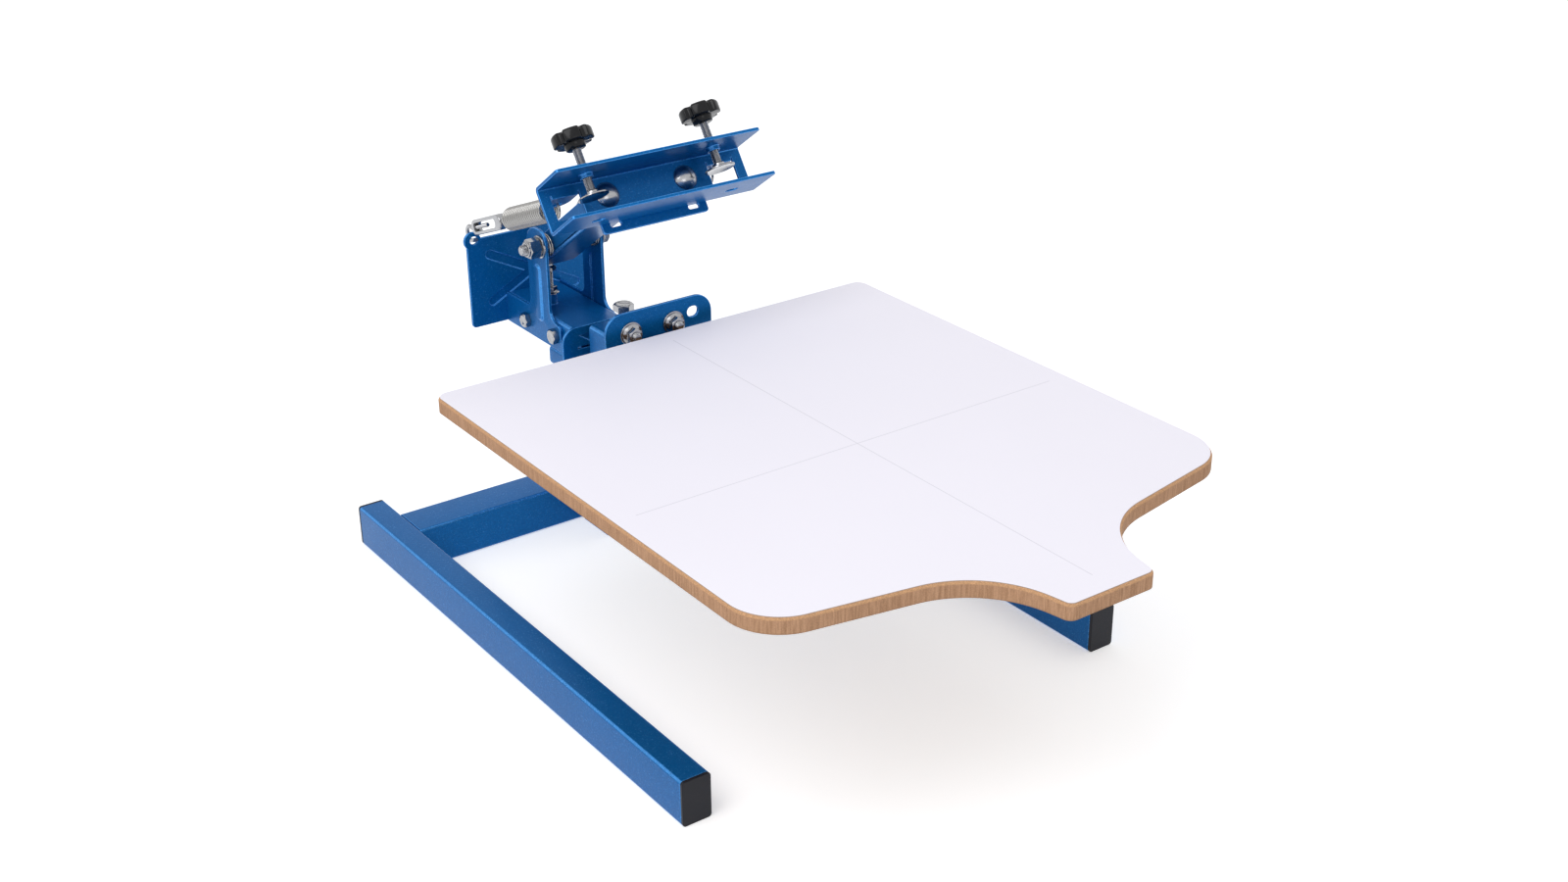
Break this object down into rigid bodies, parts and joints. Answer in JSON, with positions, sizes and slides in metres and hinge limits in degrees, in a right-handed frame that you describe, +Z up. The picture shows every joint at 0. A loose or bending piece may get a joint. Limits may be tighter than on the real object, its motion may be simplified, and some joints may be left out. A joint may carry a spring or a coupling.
{
  "type": "tabletop screen printing press",
  "caption": "Blue tabletop screen printing press: H stand, white board with a rounded neck, spring-lifted hinged arm and a screen clamp with two knob screws.",
  "frame": {"origin": "middle of the footprint on the table, under the stand", "axes": "+Z up, +Y from the operator's side towards the springs at the back, +X to the operator's right"},
  "size_m": [0.45, 0.8162, 0.4263],
  "materials": {
    "blue_paint": "glossy powder coat with fine metallic fleck",
    "black_cap": "satin",
    "black_knob": "glossy",
    "fibreboard": "raw cut edge",
    "white_laminate": "satin",
    "bare_sheet": "bright",
    "spring_wire": "bright drawn wire",
    "zinc_plate": "bright zinc"
  },
  "bodies": {
    "base": {"arm_front_plate": "blue_paint", "arm_rear_plate": "blue_paint", "board_bracket": "blue_paint", "board_laminate": "white_laminate", "board_screws": "zinc_plate", "column": "blue_paint", "cross_tube": "blue_paint", "gate_backing": "blue_paint", "gate_bolts": "zinc_plate", "gate_nuts": "zinc_plate", "gate_plate": "blue_paint", "gate_washers": "zinc_plate", "head_pedestal": "blue_paint", "head_saddle": "bare_sheet", "height_bolt": "zinc_plate", "height_bolt_nuts": "zinc_plate", "left_leg": "blue_paint", "left_pivot_coil": "spring_wire", "left_side_plate": "blue_paint", "leg_end_caps": "black_cap", "pallet_arm": "blue_paint", "pallet_board": "fibreboard", "pivot_bolt": "zinc_plate", "pivot_nut": "zinc_plate", "pivot_washers": "zinc_plate", "rear_plate": "blue_paint", "right_leg": "blue_paint", "right_pivot_coil": "spring_wire", "right_side_plate": "blue_paint", "saddle_front_wall": "blue_paint", "side_plate_bolts": "zinc_plate", "side_plate_nuts": "zinc_plate", "stop_bolt": "zinc_plate", "stop_bolt_nuts": "zinc_plate"},
    "print_head": {"print_arm": "blue_paint", "pivot_sleeve": "zinc_plate", "screen_clamp": "blue_paint", "clamp_bolts": "zinc_plate", "clamp_bolt_nuts": "zinc_plate"},
    "left_link": {"left_turnbuckle": "zinc_plate", "left_turnbuckle_hook": "zinc_plate", "left_turnbuckle_eye": "zinc_plate", "left_lift_spring": "spring_wire"},
    "left_screw_feed": {"left_pressure_disc": "zinc_plate"},
    "left_knob_turn": {"left_clamp_screw": "zinc_plate", "left_knob": "black_knob"},
    "right_link": {"right_turnbuckle": "zinc_plate", "right_turnbuckle_hook": "zinc_plate", "right_turnbuckle_eye": "zinc_plate", "right_lift_spring": "spring_wire"},
    "right_screw_feed": {"right_pressure_disc": "zinc_plate"},
    "right_knob_turn": {"right_clamp_screw": "zinc_plate", "right_knob": "black_knob"}
  },
  "joints": [
    {"name": "arm_lift", "type": "hinge", "parent": "base", "child": "print_head", "pos_m": [0, 0.31872, 0.2696], "axis": [1, 0, 0], "range_deg": [0, 35], "stiffness_Nm_per_rad": 4, "springref_deg": -51.57, "deforming": ["left_lift_spring", "right_lift_spring"]},
    {"name": "left_link_swing", "type": "hinge", "parent": "base", "child": "left_link", "pos_m": [-0.062, 0.39421, 0.2611], "axis": [1, 0, 0], "range_deg": [0, 23.4]},
    {"name": "left_disc_feed", "type": "slide", "parent": "print_head", "child": "left_screw_feed", "axis": [0, 0.5736, 0.8192], "range_m": [-0.015, 0.006]},
    {"name": "left_knob_spin", "type": "hinge", "parent": "left_screw_feed", "child": "left_knob_turn", "pos_m": [-0.0645, 0.16471, 0.37743], "axis": [0, 0.5736, 0.8192], "range_deg": [-4325, 1733]},
    {"name": "right_link_swing", "type": "hinge", "parent": "base", "child": "right_link", "pos_m": [0.062, 0.39421, 0.2611], "axis": [1, 0, 0], "range_deg": [0, 23.4]},
    {"name": "right_disc_feed", "type": "slide", "parent": "print_head", "child": "right_screw_feed", "axis": [0, 0.5736, 0.8192], "range_m": [-0.015, 0.006]},
    {"name": "right_knob_spin", "type": "hinge", "parent": "right_screw_feed", "child": "right_knob_turn", "pos_m": [0.0645, 0.16471, 0.37743], "axis": [0, 0.5736, 0.8192], "range_deg": [-4325, 1733]}
  ],
  "couplings": [
    {"joint": "left_link_swing", "follows": "arm_lift", "ratio": 0.66116},
    {"joint": "left_knob_spin", "follows": "left_disc_feed", "rad_per_m": 5026.5},
    {"joint": "right_link_swing", "follows": "arm_lift", "ratio": 0.66116},
    {"joint": "right_knob_spin", "follows": "right_disc_feed", "rad_per_m": 5026.5}
  ]
}
